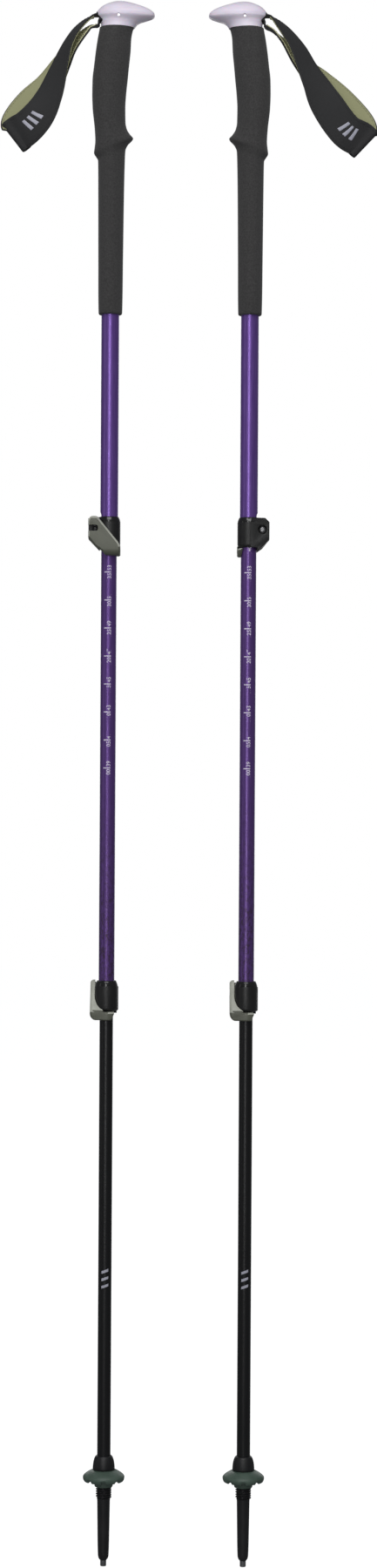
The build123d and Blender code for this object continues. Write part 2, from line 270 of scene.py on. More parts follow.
def tube_material(name, dark, light, rough, metallic, coat, fade=None):
    """Anodised tube: drawn streaks down its length, fine sparkle and a clear coat. A darker mottle comes in
    between the two heights of fade, which are in metres."""
    made = Shading(name, Metallic=metallic, Coat_Weight=coat, Coat_Roughness=0.22)
    spot = made.place()
    streaks = made.noise(made.place((1, 1, 0.02)), 2600, 3)
    sparkle = made.noise(spot, 5200, 2)
    colour = made.mix(made.remap(streaks, 0.35, 0.65), srgb(*dark), srgb(*light))
    height = made.plus(made.times(streaks, 0.6), made.times(sparkle, 0.4))
    gloss = made.remap(sparkle, 0.3, 0.7, rough - 0.04, rough + 0.05)
    if fade:
        level = made.add("ShaderNodeSeparateXYZ", {0: spot}).outputs["Z"]
        share = made.remap(level, fade[0], fade[1])
        spots = made.remap(made.noise(made.place((1, 1, 0.55)), 420, 6, 0.75), 0.46, 0.6)
        share = made.times(share, spots)
        colour = made.mix(share, colour, srgb(*WORN_COLOUR))
    return made.finish(colour, gloss, made.bump(height, 0.000004, 0.6))


BAND_DATA = "band"
RIB_PITCH = 1.9
# Pale colour mixed into the lining where it has ribs: painted light where it lies in shade between the loop's
# runs
RIB_PAINTED_LIGHT = (226, 225, 182)


def woven(name, dark, light, rough, pitch, depth, ribs):
    """Woven tape. The band's own coordinates are millimetres across and along, and a third number that is 1
    where the tape has ribs; the lining is painted paler there, painted light in the shade between the loop's
    runs."""
    made = Shading(name)
    spot = made.add("ShaderNodeAttribute", attribute_name=BAND_DATA).outputs["Vector"]
    parts = made.add("ShaderNodeSeparateXYZ", {0: spot})
    across, along, ribs_and_light = (parts.outputs[i] for i in range(3))
    turn = 2 * math.pi
    warp = made.math("SINE", made.times(across, turn / pitch[0]))
    weft = made.math("SINE", made.times(along, turn / pitch[1]))
    weave = made.times(warp, weft)
    fuzz = made.noise(spot, 2.4, 4, 0.7)
    height = made.plus(made.times(weave, 0.35), fuzz)
    cord = made.math("SINE", made.times(along, turn / RIB_PITCH))
    raised = made.times(made.times(cord, ribs_and_light), ribs)
    height = made.plus(height, raised)
    shade = made.remap(made.plus(weave, made.times(fuzz, 2.0)), 0.2, 1.8)
    shade = made.math("MAXIMUM", shade, 0.0)
    colour = made.mix(shade, srgb(*dark), srgb(*light))
    # Where the lining has ribs its colour is painted paler, painted light in the shade between the loop's
    # runs.
    if ribs:
        colour = made.mix(made.times(ribs_and_light, 0.8), colour, srgb(*RIB_PAINTED_LIGHT))
    gloss = made.remap(fuzz, 0.3, 0.7, *rough)
    return made.finish(colour, gloss, made.bump(height, depth))


# Darkest and lightest colour, roughness, pitch across and along, depth of the weave and height of the ribs
WOVEN = {
    "webbing": ((34, 34, 35), (56, 56, 57), (0.85, 0.95), (1.3, 1.1), 0.00012, 0.0),
    "lining": ((143, 144, 108), (168, 168, 131), (0.9, 1.0), (0.8, 0.8), 0.0001, 1.6),
}

# Darkest and lightest colour, roughness, metal and coat, and for one of them the heights of its mottle
TUBES = {
    "purple_tube": ((104, 70, 152), (126, 92, 176), 0.36, 0.62, 0.35),
    "purple_tube_dark": ((92, 60, 132), (112, 78, 152), 0.38, 0.6, 0.3, (0.71, 0.57)),
    "black_tube": ((17, 17, 18), (24, 24, 25), 0.36, 0.3, 0.12),
}

# Darkest and lightest colour, roughness range, scale and depth of the grain, metal, and scale of the clouds
GRAINED = {
    "core_plastic": ((40, 40, 42), (48, 48, 50), (0.5, 0.6), 2500, 0.00003),
    "thread": ((24, 24, 24), (40, 40, 40), (0.7, 0.8), 6000, 0.00003),
    "lining_thread": ((96, 98, 70), (120, 122, 90), (0.7, 0.8), 6000, 0.00003),
    "black_plastic": ((19, 19, 19), (26, 26, 25), (0.4, 0.5), 2600, 0.00005),
    # The slope plastic is glossier, and its paler colour is a painted highlight.
    "plastic_slope": ((24, 24, 24), (30, 30, 30), (0.16, 0.22), 2600, 0.00001),
    "lever_alloy": ((94, 96, 84), (106, 108, 95), (0.42, 0.55), 3000, 0.00004),
    # The lever's paler rim colour is a painted highlight on its chamfers.
    "lever_rim": ((178, 180, 168), (198, 200, 188), (0.38, 0.5), 3000, 0.00003),
    "black_steel": ((96, 96, 98), (120, 120, 122), (0.2, 0.3), 3000, 0.00002, 0.9),
    # Near-black steel for the screw's shank and the barrel: painted shade where they sit inside the ear and
    # behind the lever's slot.
    "dark_steel": ((22, 22, 23), (32, 32, 33), (0.35, 0.45), 3000, 0.00002, 0.4),
    "steel": ((200, 200, 204), (226, 226, 230), (0.25, 0.4), 3000, 0.00002, 0.9),
    "tip_plastic": ((17, 17, 19), (26, 26, 28), (0.42, 0.56), 2400, 0.00005),
    "basket_plastic": ((70, 88, 77), (86, 104, 93), (0.4, 0.52), 2000, 0.00004, 0.0, 90),
    "carbide": ((88, 88, 90), (128, 128, 130), (0.35, 0.55), 2600, 0.00006, 0.75),
    "ink": ((224, 214, 238), (238, 230, 248), (0.5, 0.6), 5000, 0.00002),
    "pale_mark": ((170, 170, 184), (192, 192, 204), (0.45, 0.6), 5000, 0.00003),
}


def make_materials():
    made = {"cap_plastic": cap_material(), "grip_foam": foam_material()}
    for make, rows in ((woven, WOVEN), (tube_material, TUBES), (grained, GRAINED)):
        for name, row in rows.items():
            made[name] = make(name, *row)
    return made


LOOKS = make_materials()


# ---------------------------------------------------------------- meshes


def pole_frame(side, turn=0.0, height=0.0):
    """From millimetres in a pole's own frame to the frame's metres."""
    moved = Matrix.Translation((POLE_X[side], 0, height * MM))
    return moved @ Matrix.Rotation(math.radians(turn), 4, "Z") @ Matrix.Scale(MM, 4)


def mesh_piece(name, points, faces, place=None, crease=32):
    """A smooth-shaded mesh object; edges that turn by more than crease degrees stay sharp."""
    mesh = bpy.data.meshes.new(name)
    place = place or Matrix.Identity(4)
    mesh.from_pydata([place @ Vector(p) for p in points], [], faces)
    mesh.update()
    piece = bpy.data.objects.new(name, mesh)
    bpy.context.scene.collection.objects.link(piece)
    shade(piece, crease)
    return piece


def shade(piece, crease=32):
    tidy = bmesh.new()
    tidy.from_mesh(piece.data)
    bmesh.ops.recalc_face_normals(tidy, faces=tidy.faces)
    tidy.to_mesh(piece.data)
    tidy.free()
    piece.data.shade_smooth()
    piece.data.set_sharp_from_angle(angle=math.radians(crease))


def settle(piece, body, slot, *nodes, looks=()):
    """Gives a piece its materials and its body, and hides the CAD nodes that it stands for. It has the slot's
    own material unless looks names others."""
    piece.data.materials.clear()
    for look in looks or [slot]:
        piece.data.materials.append(LOOKS[look])
    if body:
        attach(piece, body)
    if nodes:
        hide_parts(*nodes)


def tube_faces(rings, count, wrap=False):
    """Quads between successive rings of count points each."""
    faces = []
    last = rings if wrap else rings - 1
    for i in range(last):
        near, far = i * count, (i + 1) % rings * count
        for j in range(count):
            k = (j + 1) % count
            faces.append((near + j, near + k, far + k, far + j))
    return faces


def skin(rings, wrap=False):
    """Points and faces over successive rings, closed by two ends or by joining the last ring to the first."""
    count = len(rings[0])
    points = [point for ring in rings for point in ring]
    faces = tube_faces(len(rings), count, wrap)
    if not wrap:
        faces += [tuple(range(count - 1, -1, -1)), tuple(range(len(points) - count, len(points)))]
    return points, faces


def gather(points, faces, more_points, more_faces):
    """Adds a shape to the points and faces gathered so far."""
    base = len(points)
    points += more_points
    faces += [tuple(base + i for i in face) for face in more_faces]


# A turned piece's profile ends this near its axis
AXIS_R = 0.01


def turns(count):
    """Angles evenly round a circle."""
    return [2 * math.pi * j / count for j in range(count)]


def lathe(profile, count=64, wrap=False, reach=None):
    """Points and faces turned about Z from radius and height; reach may change the radius with the angle."""
    rings = []
    for r, z in profile:
        ring = []
        for angle in turns(count):
            radius = reach(r, z, angle) if reach else r
            ring.append((radius * math.cos(angle), radius * math.sin(angle), z))
        rings.append(ring)
    return skin(rings, wrap)


def eased(slopes, gaps):
    """Tangents of a smooth curve, from the slopes and lengths of its spans."""
    tangents = [slopes[0]]
    for a, b, h, g in zip(slopes, slopes[1:], gaps, gaps[1:]):
        tangents.append((a * g + b * h) / (g + h))
    return tangents + [slopes[-1]]


def steady(slopes, gaps):
    """Tangents of a curve that never overshoots, from the slopes and lengths of its spans."""
    tangents = [slopes[0]]
    for a, b, h, g in zip(slopes, slopes[1:], gaps, gaps[1:]):
        near, far = 2 * g + h, g + 2 * h
        tangents.append(0.0 if a * b <= 0 else (near + far) / (near / a + far / b))
    return tangents + [slopes[-1]]


def knots_of(rows, power=1.0):
    """Distances along a run of rows, each span raised to a power."""
    knots = [0.0]
    for a, b in zip(rows, rows[1:]):
        knots.append(knots[-1] + math.dist(a, b) ** power)
    return knots


def curve(rows, knots, shares, tangents_of):
    """Cubic curves through the rows at their knots, cut into shares[i] steps on the i-th span."""
    gaps = [b - a for a, b in zip(knots, knots[1:])]
    columns = []
    for values in zip(*rows):
        tangents = tangents_of([(b - a) / h for a, b, h in zip(values, values[1:], gaps)], gaps)
        made = []
        for i, steps in enumerate(shares):
            for s in (j / steps for j in range(steps)):
                value = values[i] * (2 * s**3 - 3 * s**2 + 1) + values[i + 1] * (3 * s**2 - 2 * s**3)
                value += gaps[i] * (tangents[i] * (s**3 - 2 * s**2 + s) + tangents[i + 1] * (s**3 - s**2))
                made.append(value)
        columns.append(made + [values[-1]])
    return [list(row) for row in zip(*columns)]


def refined(rows, step):
    """The rows joined by curves that never overshoot, and sampled about every step."""
    knots = knots_of(rows)
    shares = [max(2, math.ceil((b - a) / step)) for a, b in zip(knots, knots[1:])]
    return curve(rows, knots, shares, steady)


def rounded(outline, radius, steps=5):
    """An outline with each corner replaced by an arc of about that radius."""
    made = []
    for i, corner in enumerate(outline):
        here = Vector(corner)
        back = Vector(outline[i - 1]) - here
        ahead = Vector(outline[(i + 1) % len(outline)]) - here
        half = back.angle(ahead) / 2
        reach = min(radius / math.tan(half), 0.45 * back.length, 0.45 * ahead.length)
        bend = reach * math.tan(half)
        back.normalize()
        ahead.normalize()
        hub = here + (back + ahead).normalized() * (reach / math.cos(half))
        first = here + back * reach - hub
        last = here + ahead * reach - hub
        for j in range(steps + 1):
            spoke = first.lerp(last, j / steps)
            made.append(tuple(hub + spoke.normalized() * bend))
    return made


def inset(outline, distance):
    """The outline moved inwards; it runs anticlockwise."""
    made = []
    for i, point in enumerate(outline):
        here = Vector(point)
        back = (here - Vector(outline[i - 1])).normalized()
        ahead = (Vector(outline[(i + 1) % len(outline)]) - here).normalized()
        normals = [Vector((-v.y, v.x)) for v in (back, ahead)]
        bisector = (normals[0] + normals[1]).normalized()
        made.append(tuple(here + bisector * distance / max(bisector.dot(normals[0]), 0.5)))
    return made


def slab(outline, front, back, edge=0.0, depth=None):
    """An XZ outline given thickness from y front to y back, with its front edge chamfered."""
    depth = edge if depth is None else depth
    rings = [[(x, back, z) for x, z in outline], [(x, front + depth, z) for x, z in outline]]
    if edge:
        rings.append([(x, front, z) for x, z in inset(outline, edge)])
    points = [p for ring in rings for p in ring]
    count = len(outline)
    faces = tube_faces(len(rings), count)
    faces.append(tuple(range(count)))
    faces.append(tuple(range(len(points) - 1, len(points) - count - 1, -1)))
    return points, faces


def bar(radius, low, high, count=40):
    """An upright round bar."""
    return lathe([(radius, low), (radius, high)], count)


def along_y(shape, x, z):
    """A shape made about Z, laid along Y at a place."""
    points, faces = shape
    return [(px + x, pz, z - py) for px, py, pz in points], faces


def box(low, high):
    points = [(x, y, z) for z in (low[2], high[2]) for y in (low[1], high[1]) for x in (low[0], high[0])]
    faces = [(0, 2, 3, 1), (4, 5, 7, 6), (0, 1, 5, 4), (2, 6, 7, 3), (0, 4, 6, 2), (1, 3, 7, 5)]
    return points, faces


def baked(piece):
    """A new mesh of the piece as its modifiers or its lettering leave it."""
    graph = bpy.context.evaluated_depsgraph_get()
    return bpy.data.meshes.new_from_object(piece.evaluated_get(graph))


def freeze(piece):
    """Applies the piece's modifiers, for good."""
    mesh = baked(piece)
    piece.modifiers.clear()
    piece.data = mesh


def combine(piece, shapes, place, operation):
    """Joins shapes to a piece, or cuts them out of it, for good."""
    tools = []
    for shape in shapes:
        tool = mesh_piece("tool", *shape, place)
        modifier = piece.modifiers.new("combine", "BOOLEAN")
        modifier.object = tool
        modifier.operation = operation
        modifier.solver = "EXACT"
        tools.append(tool)
    freeze(piece)
    for tool in tools:
        bpy.data.objects.remove(tool)
    shade(piece)


# ---------------------------------------------------------------- grip

# Rings up the foam: height in front, height behind, reach behind, reach in front, half width
FOAM_RINGS = [
    (1119.4, 1119.4, 9.5, 9.5, 9.5), (1119.8, 1119.8, 10.2, 10.2, 10.2),
    (1121.2, 1121.2, 10.6, 10.6, 10.6), (1170.0, 1170.0, 11.1, 11.1, 11.1),
    (1230.0, 1230.0, 11.5, 11.7, 11.6), (1255.0, 1251.0, 11.7, 12.2, 11.8),
    (1266.5, 1257.5, 11.9, 12.7, 12.1), (1271.5, 1260.3, 13.4, 14.8, 13.0),
    (1277.3, 1264.3, 15.5, 19.6, 14.0), (1280.5, 1268.5, 15.0, 16.9, 13.9),
    (1285.5, 1275.0, 14.4, 13.9, 13.6), (1292.0, 1286.0, 15.0, 12.6, 13.5),
    (1305.0, 1305.0, 17.0, 12.4, 14.1), (1317.0, 1317.0, 17.4, 13.1, 14.2),
    (1330.0, 1330.0, 17.2, 14.4, 14.3), (1342.0, 1342.0, 15.9, 15.5, 14.2),
    (1355.0, 1355.0, 14.4, 16.8, 14.0), (1366.5, 1366.5, 12.7, 17.4, 13.6),
    (1373.5, 1373.5, 11.4, 18.7, 13.3), (1376.0, 1376.0, 11.0, 19.6, 13.2),
]
FOAM_BORE = [(1376.0, 9.45), (1250.0, 9.45), (1250.0, 8.05), (1119.4, 8.05)]

# Rings up the cap: height, reach behind, reach in front, half width
CAP_RINGS = [
    (1376.0, 9.8, 20.4, 12.7), (1379.0, 9.7, 22.6, 12.4),
    (1381.5, 10.3, 26.5, 12.7), (1383.6, 11.8, 33.0, 13.6),
    (1385.0, 13.2, 36.9, 14.5), (1386.6, 14.2, 38.3, 15.1),
    (1388.6, 14.2, 38.1, 15.1), (1391.0, 12.7, 35.9, 14.3),
    (1393.6, 10.4, 31.4, 13.0), (1396.0, 6.8, 25.0, 10.7),
    (1398.2, 1.8, 17.8, 7.4), (1399.5, -2.2, 12.6, 4.0),
    (1399.9, -5.2, 9.2, 1.8),
]
CROWN_Z = 1400.0
# How far the cap's rings are filled out at their corners, and the height above the neck by which they are
CAP_SQUARE = 0.24
CAP_SQUARE_RISE = 5.0
GRIP_BLUNT = 0.12
CAP_SLOT = ((-20.0, -10.2, 1380.6), (9.2, 10.2, 1389.2))
# The slot is this share of its width from here outwards
MOUTH_X = -5.2
MOUTH_SHARE = 0.78
PIN_PLACE = (6.2, 1385.0)
PIN_HOLE = 1.35
GRIP_SEGMENTS = 72
FOAM_STEP = 2.6
CAP_STEP = 1.0
SLOT_ROUND = 2.2


def oval(rear, front, half, low_front, low_rear, square=1.0):
    """One ring of the grip, blunter behind the axis than in front of it and tilted between two heights. A
    square below 1 fills its corners out."""
    points = []
    for angle in turns(GRIP_SEGMENTS):
        share, aside = math.cos(angle), math.sin(angle)
        x = (front - rear) / 2 + (front + rear) / 2 * share
        y = half * math.copysign(abs(aside) ** square, aside) * (1 - GRIP_BLUNT * share)
        z = (low_front + low_rear) / 2 + (low_front - low_rear) / 2 * share
        points.append((x, y, z))
    return points


def grip_foam(side):
    """The foam handle: tilted finger ledge, swelling palm and the long extension down the shaft."""
    rings = []
    for low_front, low_rear, rear, front, half in refined(FOAM_RINGS, FOAM_STEP):
        rings.append(oval(rear, front, half, low_front, low_rear))
    rings += [oval(radius, radius, radius, z, z) for z, radius in FOAM_BORE]
    place = pole_frame(side, UPPER_TURN[side])
    piece = mesh_piece(f"{side}_foam_grip", *skin(rings, wrap=True), place, 50)
    settle(piece, f"{side}_upper", "grip_foam", f"{side}_grip_foam")


def grip_cap(side):
    """The hard palm rest: dome, beak and neck, cut by the strap's slot and the cross pin's hole."""
    place = pole_frame(side, UPPER_TURN[side])
    rings = []
    for z, rear, front, half in refined(CAP_RINGS, CAP_STEP):
        filled = CAP_SQUARE * clamped((z - CAP_RINGS[0][0]) / CAP_SQUARE_RISE)
        rings.append(oval(rear, front, half, z, z, 1 - filled))
    points, faces = skin(rings)
    faces.pop()
    crown = len(points)
    start = crown - GRIP_SEGMENTS
    top_rear, top_front = CAP_RINGS[-1][1:3]
    points.append(((top_front - top_rear) / 2, 0.0, CROWN_Z))
    faces += [(start + j, start + (j + 1) % GRIP_SEGMENTS, crown) for j in range(GRIP_SEGMENTS)]
    piece = mesh_piece(f"{side}_palm_rest", points, faces, place, 40)
    pin = along_y(bar(PIN_HOLE, -20, 20, 24), *PIN_PLACE)
    combine(piece, [slot_cutter(), pin], place, "DIFFERENCE")
    shade(piece, 40)
    settle(piece, f"{side}_upper", "cap_plastic", f"{side}_grip_cap")


def slot_cutter():
    """The strap's slot, with rounded ends; its mouth is narrower."""
    (back, left, low), (front, right, high) = CAP_SLOT
    outline = rounded([(left, low), (right, low), (right, high), (left, high)], SLOT_ROUND)
    stops = ((back, MOUTH_SHARE), (MOUTH_X - 1.0, MOUTH_SHARE), (MOUTH_X, 1.0), (front, 1.0))
    return skin([[(x, y * share, z) for y, z in outline] for x, share in stops])


# ---------------------------------------------------------------- strap

# Stations along each strap: distance out from the axis, y, height, twist from level in degrees, and width.
# The first run leaves the top of the slot on the -Y side. The second leaves its bottom and hugs the neck at
# first.
SLOT_TOP = [(9.2, 0.0, 1386.6, 0, 15.6), (13.5, 0.0, 1386.8, 3, 15.8)]
SLOT_LOW = [
    (9.2, 0.0, 1383.4, 0, 15.6),
    (11.6, 0.0, 1383.0, 0, 15.6),
    (12.5, 0.0, 1381.2, 0, 15.6),
    (12.6, 0.1, 1379.2, 2, 15.8),
]
STRAPS = {
    "left": {
        "front": [
            (19.5, -0.1, 1385.0, 13, 17.6), (29.3, -1.5, 1376.6, 20, 21.0),
            (36.4, -3.8, 1366.0, 23, 23.5), (41.2, -6.0, 1355.5, 27, 25.5),
            (46.3, -8.2, 1340.0, 37, 27.0), (55.0, -11.0, 1313.0, 56, 30.0),
            (64.5, -10.5, 1295.5, 75, 31.0), (76.0, -6.0, 1284.5, 86, 31.5),
        ],
        "back": [
            (14.8, 0.5, 1377.8, 9, 16.4), (19.0, 1.2, 1377.4, 18, 17.8),
            (23.6, 2.2, 1374.0, 22, 19.5), (28.6, 3.4, 1369.2, 26, 21.0),
            (37.0, 6.0, 1359.6, 33, 23.5), (45.0, 8.6, 1347.6, 45, 26.0),
            (57.5, 11.0, 1327.5, 64, 29.0), (73.0, 10.5, 1309.5, 80, 31.0),
            (83.5, 6.0, 1292.0, 87, 31.5),
        ],
        "fold": (87.6, 0.0, 1277.6, 90, 31.5),
        "mark": (63.0, 76.0),
    },
    "right": {
        "front": [
            (18.8, -0.1, 1385.6, 12, 17.4), (26.6, -1.5, 1378.2, 26, 20.6),
            (40.5, -4.0, 1359.5, 37, 24.0), (49.0, -7.0, 1341.5, 45, 26.5),
            (57.0, -10.0, 1325.5, 57, 29.0), (67.0, -11.0, 1306.5, 78, 31.0),
            (85.5, -7.0, 1283.0, 87, 31.5),
        ],
        "back": [
            (14.6, 0.4, 1377.4, 4, 16.4), (18.6, 1.0, 1375.4, 7, 17.8),
            (23.4, 1.9, 1371.4, 11, 19.5), (29.0, 3.0, 1366.0, 17, 21.0),
            (41.5, 6.5, 1350.4, 33, 25.0), (62.5, 11.0, 1331.0, 62, 29.0),
            (81.0, 11.0, 1311.5, 80, 31.0), (97.0, 6.0, 1290.0, 87, 31.5),
        ],
        "fold": (102.5, 0.0, 1273.3, 90, 31.5),
        "mark": (80.0, 93.0),
    },
}
# The webbing inside the cap: half its width, where it ends and its thickness
ANCHOR_HALF = 7.6
ANCHOR_END = -9.0
ANCHOR_THICKNESS = 1.5
FOLD_RADIUS = 2.0
FOLD_RUN = 3.5
FOLD_ANGLES = (-90, -45, 0, 45, 90)
WEBBING = (0.05, 1.45)
LINING = (-1.05, -0.05)
LINING_SHARE = 0.94
RIBBED_LENGTH = 52.0
RIBBED_FADE = 6.0
BAND_STEP = 1.1
# Where points lie across a band, and how far through its thickness its two faces are there
ACROSS = [
    (0.0, 1.0), (0.25, 1.0), (0.5, 1.0), (0.72, 1.0), (0.88, 1.0), (0.95, 0.97), (0.985, 0.82), (1.0, 0.5)
]


LEVEL = Vector((0, 1, 0))


def square_to(vector, along):
    """The unit vector nearest to a vector that is at right angles to a direction."""
    return (vector - along * vector.dot(along)).normalized()


class Band:
    """A strap's line round its loop: places, width directions, outward directions and widths."""

    def __init__(self, side):
        self.side = OUTWARD[side]
        spec = STRAPS[side]
        front = SLOT_TOP + spec["front"]
        back = SLOT_LOW + spec["back"]
        fold = spec["fold"]
        stations = self.run(front, fold)
        tip = self.spot(fold)
        place, wide, _ = stations[-1]
        heading = tip - place
        heading -= wide * heading.dot(wide)
        heading = Vector((heading.x, 0, heading.z)).normalized()
        rise = heading.cross(LEVEL)
        if rise.dot(wide) < 0:
            rise = -rise
        hub = tip - heading * FOLD_RADIUS
        before, after = (hub - heading * FOLD_RUN + LEVEL * way * FOLD_RADIUS for way in (-1, 1))
        stations.append((before, rise, fold[4]))
        for angle in FOLD_ANGLES:
            a = math.radians(angle)
            spoke = heading * math.cos(a) + LEVEL * math.sin(a)
            stations.append((hub + spoke * FOLD_RADIUS, rise, fold[4]))
        stations.append((after, rise, fold[4]))
        stations += self.run(back, fold)[::-1]
        self.sample(stations)

    def spot(self, row):
        return Vector((self.side * row[0], row[1], row[2]))

    def run(self, rows, fold):
        """Places, width directions and widths along one run, each twisted about the run's own direction."""
        places = [self.spot(row) for row in (*rows, fold)]
        made = []
        for i, (_, _, _, twist, width) in enumerate(rows):
            along = (places[i + 1] - places[max(i - 1, 0)]).normalized()
            level = square_to(LEVEL, along)
            raised = along.cross(level) * self.side
            angle = math.radians(twist)
            made.append((places[i], level * math.cos(angle) + raised * math.sin(angle), width))
        return made

    def sample(self, stations):
        rows = [[*place, *across, width] for place, across, width in stations]
        spans = [(a[0] - b[0]).length for a, b in zip(stations, stations[1:])]
        shares = [max(4, math.ceil(span / BAND_STEP)) for span in spans]
        rows = curve(rows, knots_of(rows, 0.5), shares, eased)
        self.places = [Vector(row[:3]) for row in rows]
        self.widths = [row[6] for row in rows]
        self.across, self.normals, self.lengths = [], [], [0.0]
        last = len(rows) - 1
        for i, row in enumerate(rows):
            along = (self.places[min(i + 1, last)] - self.places[max(i - 1, 0)]).normalized()
            wide = square_to(Vector(row[3:6]), along)
            self.across.append(wide)
            self.normals.append(along.cross(wide).normalized() * self.side)
            if i:
                self.lengths.append(self.lengths[-1] + (self.places[i] - self.places[i - 1]).length)
        self.total = self.lengths[-1]

    def at(self, length, share, offset):
        """A point at a length along, a share of the half width across and an offset from the seam."""
        i = 0
        while i < len(self.lengths) - 2 and self.lengths[i + 1] < length:
            i += 1
        t = (length - self.lengths[i]) / (self.lengths[i + 1] - self.lengths[i])
        place = self.places[i].lerp(self.places[i + 1], t)
        wide = self.across[i].lerp(self.across[i + 1], t)
        normal = self.normals[i].lerp(self.normals[i + 1], t)
        half = (self.widths[i] + (self.widths[i + 1] - self.widths[i]) * t) / 2
        return place + wide * (half * share) + normal * offset

    def length_at(self, distance):
        """The length along the first run at which the strap is that far out from the axis."""
        for i, place in enumerate(self.places):
            if abs(place.x) >= distance:
                return self.lengths[i]
        raise ValueError("the strap does not reach that far")


def band_piece(name, side, band, low, high, width_share, start, end):
    """A closed band between two offsets from the seam and two lengths, with its own coordinates stored."""
    profile = []
    for face in (1, -1):
        row = [(u * face, v if face > 0 else 1 - v) for u, v in ACROSS]
        mirrored = [(-u, v) for u, v in row[:0:-1]]
        both = mirrored + row
        profile += both if face > 0 else both[1:-1]
    rings, data = [], []
    for i, length in enumerate(band.lengths):
        if not start <= length <= end:
            continue
        half = band.widths[i] * width_share / 2
        ribs_and_light = clamped((length - band.total + RIBBED_LENGTH) / RIBBED_FADE)
        ring = []
        for u, v in profile:
            offset = low + (high - low) * v
            ring.append(band.places[i] + band.across[i] * (half * u) + band.normals[i] * offset)
            data += [half * u, length, ribs_and_light]
        rings.append(ring)
    piece = mesh_piece(name, *skin(rings), pole_frame(side), 50)
    attribute = piece.data.attributes.new(BAND_DATA, "FLOAT_VECTOR", "POINT")
    attribute.data.foreach_set("vector", data)
    return piece


STITCH_LENGTH = 1.9
STITCH_PITCH = 2.7
STITCH_RADIUS = 0.2
STITCH_SIDES = 6
# Along each stitch as a share of its length, and its swelling there
STITCH_RINGS = ((-0.5, 0.35), (-0.36, 0.9), (0.0, 1.15), (0.36, 0.9), (0.5, 0.35))
STITCH_EDGE = 0.84
STITCH_LOOK = 0.4


def stitches(name, side, band, offset, start, end):
    """Two rows of short rounded stitches along the strap, half sunk in its face."""
    points, faces = [], []
    for share in (-STITCH_EDGE, STITCH_EDGE):
        for k in range(int((end - start) / STITCH_PITCH)):
            centre = start + (k + 0.5) * STITCH_PITCH
            first, last = (band.at(centre + step, share, offset) for step in (-STITCH_LOOK, STITCH_LOOK))
            along = (last - first).normalized()
            out = band.at(centre, share, offset + 1) - band.at(centre, share, offset)
            wide = along.cross(out).normalized()
            out = wide.cross(along)
            rings = []
            for place, swell in STITCH_RINGS:
                hub = band.at(centre + place * STITCH_LENGTH, share, offset)
                ring = []
                for angle in turns(STITCH_SIDES):
                    spoke = wide * math.cos(angle) + out * math.sin(angle)
                    ring.append(hub + spoke * (STITCH_RADIUS * swell))
                rings.append(ring)
            gather(points, faces, *skin(rings))
    return mesh_piece(name, points, faces, pole_frame(side), 80)


# The printed bars: how many, their grid, where they start across and how far they go, their share of a step,
# their slant, and in metres their thickness
BAR_COUNT = 3
BAR_GRID = (4, 14)
BAR_ACROSS = (-0.30, 0.74)
BAR_SHARE = 0.52
BAR_SLANT = 2.2
BAR_LIFT = 0.06
BAR_THICKNESS = 0.00008


def strap_bars(name, side, band, start, end):
    """Three short plain bars printed across the outer face near the loop's end."""
    points, faces = [], []
    (rows, columns), (left, span) = BAR_GRID, BAR_ACROSS
    step = (end - start) / BAR_COUNT
    corners = [i * (columns + 1) + j for i in range(rows) for j in range(columns)]
    quads = [(a, a + 1, a + columns + 2, a + columns + 1) for a in corners]
    for k in range(BAR_COUNT):
        grid = []
        for i in range(rows + 1):
            for j in range(columns + 1):
                length = start + k * step + BAR_SHARE * step * i / rows + BAR_SLANT * j / columns
                grid.append(band.at(length, left + span * j / columns, WEBBING[1] + BAR_LIFT))
        gather(points, faces, grid, quads)
    piece = mesh_piece(name, points, faces, pole_frame(side), 60)
    solid = piece.modifiers.new("thickness", "SOLIDIFY")
    solid.thickness = BAR_THICKNESS
    solid.offset = 0
    freeze(piece)
    return piece


# Lengths from the strap's start to its lining and stitches, and from its end to where the stitches stop
STRAP_CLEAR = 7.0
LINING_CLEAR = 11.0
STITCHED_END = 16.0


def strap(side):
    """The wrist loop: webbing, lining, their stitching and a plain printed mark."""
    band = Band(side)
    total, clear = band.total, STRAP_CLEAR
    mark = [band.length_at(distance) for distance in STRAPS[side]["mark"]]
    webbing = band_piece(f"{side}_wrist_webbing", side, band, *WEBBING, 1.0, 0, total)
    lining = band_piece(f"{side}_wrist_lining", side, band, *LINING, LINING_SHARE, clear, total - clear)
    outer = stitches(f"{side}_webbing_stitches", side, band, WEBBING[1], clear, total - STITCHED_END)
    inner = stitches(f"{side}_lining_stitches", side, band, LINING[0], LINING_CLEAR, total - STITCHED_END)
    bars = strap_bars(f"{side}_strap_bars", side, band, *mark)
    settle_band(side, webbing, "webbing", "webbing", f"{side}_strap_webbing")
    settle_band(side, lining, "lining", "lining", f"{side}_strap_lining")
    settle_band(side, outer, "webbing", "thread")
    settle_band(side, inner, "lining", "lining_thread")
    settle(bars, f"{side}_strap", "webbing", looks=["pale_mark"])


def anchor(side):
    """The webbing inside the cap, in over the cross pin, round it and out again below."""
    low, high = (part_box(f"{side}_strap_anchor")[i][2] / MM for i in range(2))
    x, z = PIN_PLACE
    outer = (high - low) / 2
    inner = outer - ANCHOR_THICKNESS
    outline = [(ANCHOR_END, z + outer)]
    outline += arc(x, z, outer, 90, -90, 16)
    outline += [(ANCHOR_END, z - outer), (ANCHOR_END, z - inner)]
    outline += arc(x, z, inner, -90, 90, 16)
    outline += [(ANCHOR_END, z + inner)]
    place = pole_frame(side, UPPER_TURN[side])
    piece = mesh_piece(f"{side}_webbing_end", *slab(outline, -ANCHOR_HALF, ANCHOR_HALF), place)
    settle(piece, f"{side}_upper", "webbing", f"{side}_strap_anchor")


